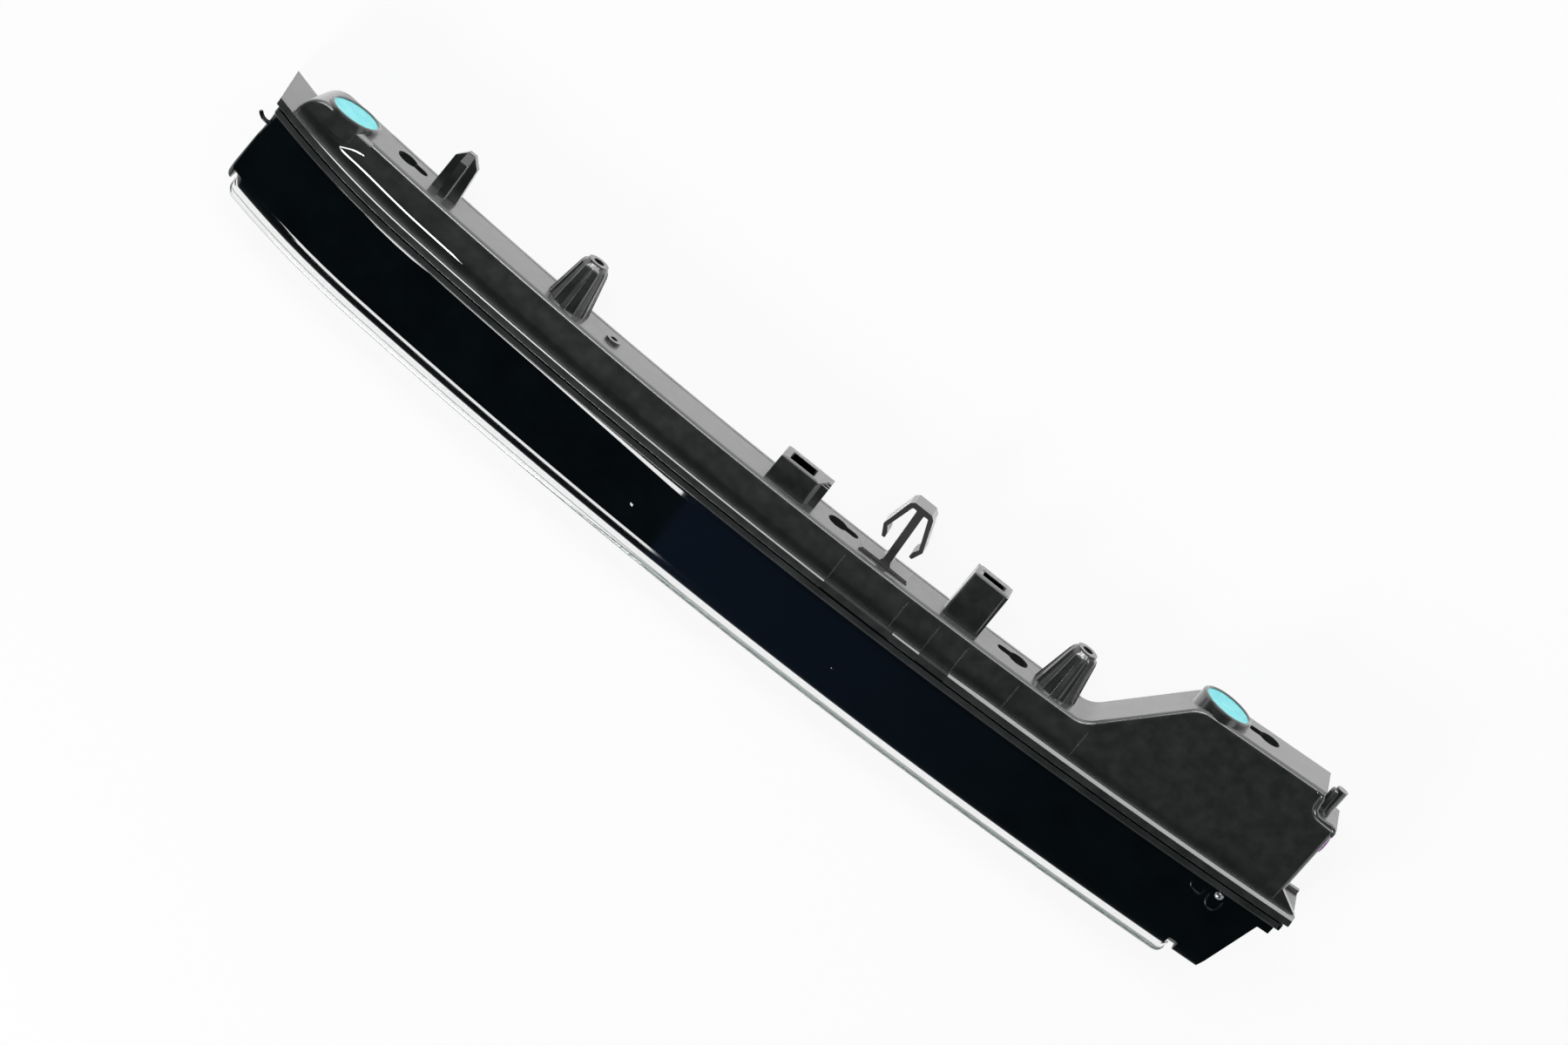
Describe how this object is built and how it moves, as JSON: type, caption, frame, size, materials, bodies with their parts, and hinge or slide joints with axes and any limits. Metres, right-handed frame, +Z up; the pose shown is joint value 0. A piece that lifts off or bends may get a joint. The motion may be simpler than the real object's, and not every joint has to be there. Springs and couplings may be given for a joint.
{
  "type": "grille light bar",
  "caption": "Slim bowed front light bar with a glossy black cover, clear front blade and a moulded rear housing with screw bosses, clip, connector and an inboard box.",
  "frame": {"origin": "midway between the two screw bosses on the plane of their tips", "axes": "+X along the bar to the inboard end, +Y to the rear of the lamp, +Z up across its thin height"},
  "size_m": [0.4567, 0.0974, 0.03],
  "materials": {
    "housing_black": "fine matt moulding grain, black",
    "lens_black": "polished black cover",
    "blade_clear": "polished clear strip that looks white",
    "seal_black": "cured sealant bead",
    "clip_black": "satin nylon",
    "vent_cyan": "woven vent membrane",
    "patch_violet": "thin round sealing disc",
    "insert_grey": "matt insulator",
    "contact_metal": "tinned contact blades",
    "plug_ivory": "natural nylon",
    "lead_black": "wire insulation",
    "board_green": "solder mask",
    "board_white": "white solder mask",
    "chip_black": "moulded chip body",
    "coil_grey": "sintered core",
    "can_metal": "drawn can",
    "screw_steel": "plated steel",
    "emitter_yellow": "phosphor window",
    "sink_metal": "bent sheet",
    "guide_clear": "polished clear bar",
    "tray_white": "white reflector"
  },
  "bodies": {
    "root": {"rear_housing": "housing_black", "outer_lens": "lens_black", "light_blade": "blade_clear", "joint_seal": "seal_black", "light_guide": "guide_clear", "reflector_tray": "tray_white", "tray_screws": "screw_steel", "spreader_clip": "clip_black", "outboard_vent_patch": "vent_cyan", "inboard_vent_patch": "vent_cyan", "end_seal_patch": "patch_violet", "connector_insert": "insert_grey", "connector_pins": "contact_metal", "lead_plug": "plug_ivory", "supply_lead": "lead_black", "lead_socket": "plug_ivory", "driver_board": "board_green", "driver_chip": "chip_black", "power_coil": "coil_grey", "filter_capacitors": "can_metal", "source_header": "plug_ivory", "board_screws": "screw_steel", "source_board": "board_white", "source_emitters": "emitter_yellow", "heat_sink": "sink_metal", "sink_screws": "screw_steel", "source_lead": "lead_black"}
  },
  "joints": []
}
